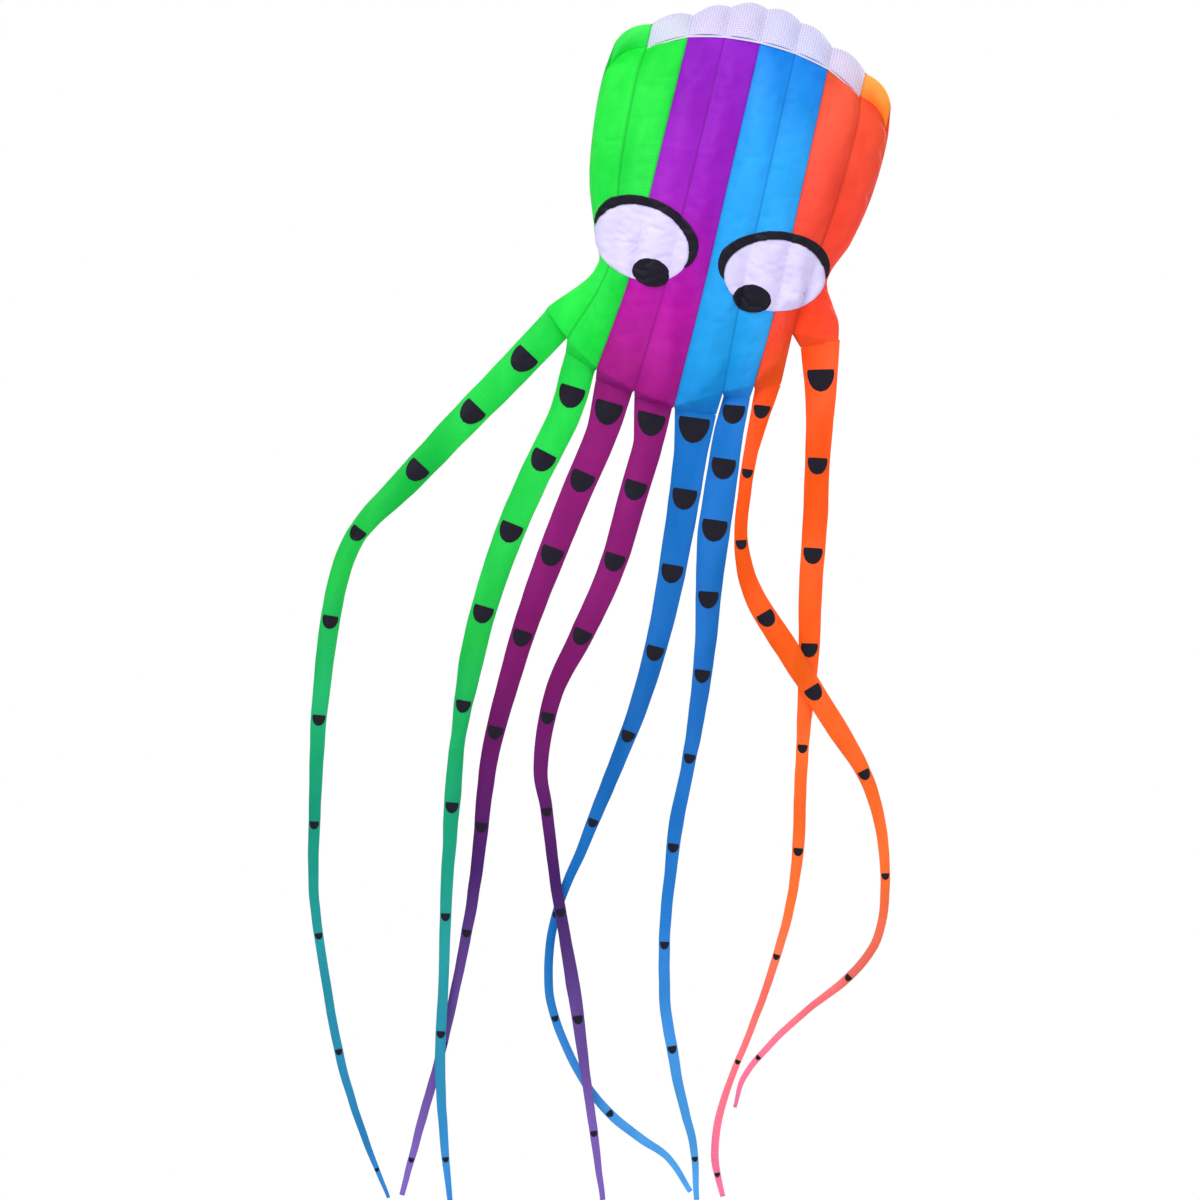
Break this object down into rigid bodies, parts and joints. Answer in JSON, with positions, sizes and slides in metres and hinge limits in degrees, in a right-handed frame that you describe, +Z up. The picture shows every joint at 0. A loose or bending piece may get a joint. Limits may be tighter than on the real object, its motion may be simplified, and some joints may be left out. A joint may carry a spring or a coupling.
{
  "type": "octopus kite",
  "caption": "Frameless ram-air octopus kite: striped soft head with cells, eye patches and a mesh nose, and long tapering spotted legs that swing and fold.",
  "frame": {"origin": "eye of the lower centre bridle loop, on the back of the head at the middle seam", "axes": "+Z up along the middle seam towards the nose, -Y out of the side with the eyes, +X to the viewer's right when facing the eyes"},
  "size_m": [1.6757, 0.2782, 3.3649],
  "materials": {
    "nylon_green": "matt",
    "nylon_purple": "matt",
    "nylon_blue": "matt",
    "nylon_orange": "matt",
    "mesh_white": "matt",
    "patch_white": "matt",
    "patch_black": "matt",
    "tape_white": "matt",
    "rib_white": "matt"
  },
  "bodies": {
    "head": {"front_panel_green": "nylon_green", "front_panel_purple": "nylon_purple", "front_panel_blue": "nylon_blue", "front_panel_orange": "nylon_orange", "back_panel_green": "nylon_green", "back_panel_purple": "nylon_purple", "back_panel_blue": "nylon_blue", "back_panel_orange": "nylon_orange", "front_nose_hem": "tape_white", "back_nose_hem": "tape_white", "rib_1": "rib_white", "rib_2": "rib_white", "rib_3": "rib_white", "rib_4": "rib_white", "rib_5": "rib_white", "rib_6": "rib_white", "rib_7": "rib_white", "intake_gauze": "mesh_white", "side_gusset_green": "nylon_green", "side_gusset_orange": "nylon_orange", "eye_white_left": "patch_white", "eyelid_left": "patch_black", "pupil_left": "patch_black", "eye_white_right": "patch_white", "eyelid_right": "patch_black", "pupil_right": "patch_black", "bridle_loops_upper": "tape_white", "bridle_loops_middle": "tape_white", "bridle_loops_lower": "tape_white"},
    "leg_1_upper": {"leg_1_upper": "nylon_green", "leg_1_upper_spots": "patch_black"},
    "leg_1_lower": {"leg_1_lower": "nylon_green", "leg_1_lower_spots": "patch_black"},
    "leg_2_upper": {"leg_2_upper": "nylon_green", "leg_2_upper_spots": "patch_black"},
    "leg_2_lower": {"leg_2_lower": "nylon_green", "leg_2_lower_spots": "patch_black"},
    "leg_3_upper": {"leg_3_upper": "nylon_purple", "leg_3_upper_spots": "patch_black"},
    "leg_3_lower": {"leg_3_lower": "nylon_purple", "leg_3_lower_spots": "patch_black"},
    "leg_4_upper": {"leg_4_upper": "nylon_purple", "leg_4_upper_spots": "patch_black"},
    "leg_4_lower": {"leg_4_lower": "nylon_purple", "leg_4_lower_spots": "patch_black"},
    "leg_5_upper": {"leg_5_upper": "nylon_blue", "leg_5_upper_spots": "patch_black"},
    "leg_5_lower": {"leg_5_lower": "nylon_blue", "leg_5_lower_spots": "patch_black"},
    "leg_6_upper": {"leg_6_upper": "nylon_blue", "leg_6_upper_spots": "patch_black"},
    "leg_6_lower": {"leg_6_lower": "nylon_blue", "leg_6_lower_spots": "patch_black"},
    "leg_7_upper": {"leg_7_upper": "nylon_orange", "leg_7_upper_spots": "patch_black"},
    "leg_7_lower": {"leg_7_lower": "nylon_orange", "leg_7_lower_spots": "patch_black"},
    "leg_8_upper": {"leg_8_upper": "nylon_orange", "leg_8_upper_spots": "patch_black"},
    "leg_8_lower": {"leg_8_lower": "nylon_orange", "leg_8_lower_spots": "patch_black"}
  },
  "joints": [
    {"name": "leg_1_root", "type": "hinge", "parent": "head", "child": "leg_1_upper", "pos_m": [-0.37396, -0.07315, -0.08788], "axis": [0.8667, 0, -0.4988], "range_deg": [-80, 80]},
    {"name": "leg_1_fold", "type": "hinge", "parent": "leg_1_upper", "child": "leg_1_lower", "pos_m": [-0.76, -0.07315, -0.7375], "axis": [0.9096, 0, -0.4155], "range_deg": [-120, 120]},
    {"name": "leg_2_root", "type": "hinge", "parent": "head", "child": "leg_2_upper", "pos_m": [-0.27899, -0.07333, -0.17197], "axis": [0.9989, 0, 0.0469], "range_deg": [-80, 0]},
    {"name": "leg_2_fold", "type": "hinge", "parent": "leg_2_upper", "child": "leg_2_lower", "pos_m": [-0.373, -0.0853, -1.2125], "axis": [0.9951, 0, 0.0989], "range_deg": [-120, 0]},
    {"name": "leg_3_root", "type": "hinge", "parent": "head", "child": "leg_3_upper", "pos_m": [-0.17509, -0.07297, -0.21697], "axis": [0.9991, 0, 0.0433], "range_deg": [0, 80]},
    {"name": "leg_3_fold", "type": "hinge", "parent": "leg_3_upper", "child": "leg_3_lower", "pos_m": [-0.279, -0.0614, -1.2225], "axis": [1, 0, 0.0043], "range_deg": [0, 120]},
    {"name": "leg_4_root", "type": "hinge", "parent": "head", "child": "leg_4_upper", "pos_m": [-0.06008, -0.07333, -0.23573], "axis": [0.9858, 0, 0.1678], "range_deg": [-80, 0]},
    {"name": "leg_4_fold", "type": "hinge", "parent": "leg_4_upper", "child": "leg_4_lower", "pos_m": [-0.138, -0.08495, -1.246], "axis": [0.9435, 0, 0.3315], "range_deg": [-120, 0]},
    {"name": "leg_5_root", "type": "hinge", "parent": "head", "child": "leg_5_upper", "pos_m": [0.05589, -0.07297, -0.23489], "axis": [0.9932, 0, 0.1161], "range_deg": [0, 80]},
    {"name": "leg_5_fold", "type": "hinge", "parent": "leg_5_upper", "child": "leg_5_lower", "pos_m": [0.066, -0.06241, -1.1525], "axis": [0.9853, 0, -0.171], "range_deg": [0, 120]},
    {"name": "leg_6_root", "type": "hinge", "parent": "head", "child": "leg_6_upper", "pos_m": [0.15306, -0.07333, -0.16899], "axis": [0.9998, 0, -0.0206], "range_deg": [-80, 0]},
    {"name": "leg_6_fold", "type": "hinge", "parent": "leg_6_upper", "child": "leg_6_lower", "pos_m": [0.2485, -0.08479, -1.165], "axis": [1, 0, -0.0014], "range_deg": [-120, 0]},
    {"name": "leg_7_root", "type": "hinge", "parent": "head", "child": "leg_7_upper", "pos_m": [0.22835, -0.07333, -0.12499], "axis": [0.9991, 0, -0.0416], "range_deg": [-80, 0]},
    {"name": "leg_7_fold", "type": "hinge", "parent": "leg_7_upper", "child": "leg_7_lower", "pos_m": [0.248, -0.07782, -0.515], "axis": [0.9826, 0, 0.1857], "range_deg": [-120, 0]},
    {"name": "leg_8_root", "type": "hinge", "parent": "head", "child": "leg_8_upper", "pos_m": [0.34484, -0.07297, 0.02147], "axis": [0.9712, 0, 0.2381], "range_deg": [0, 80]},
    {"name": "leg_8_fold", "type": "hinge", "parent": "leg_8_upper", "child": "leg_8_lower", "pos_m": [0.5385, -0.06094, -1.025], "axis": [0.9948, 0, 0.1022], "range_deg": [0, 120]}
  ]
}
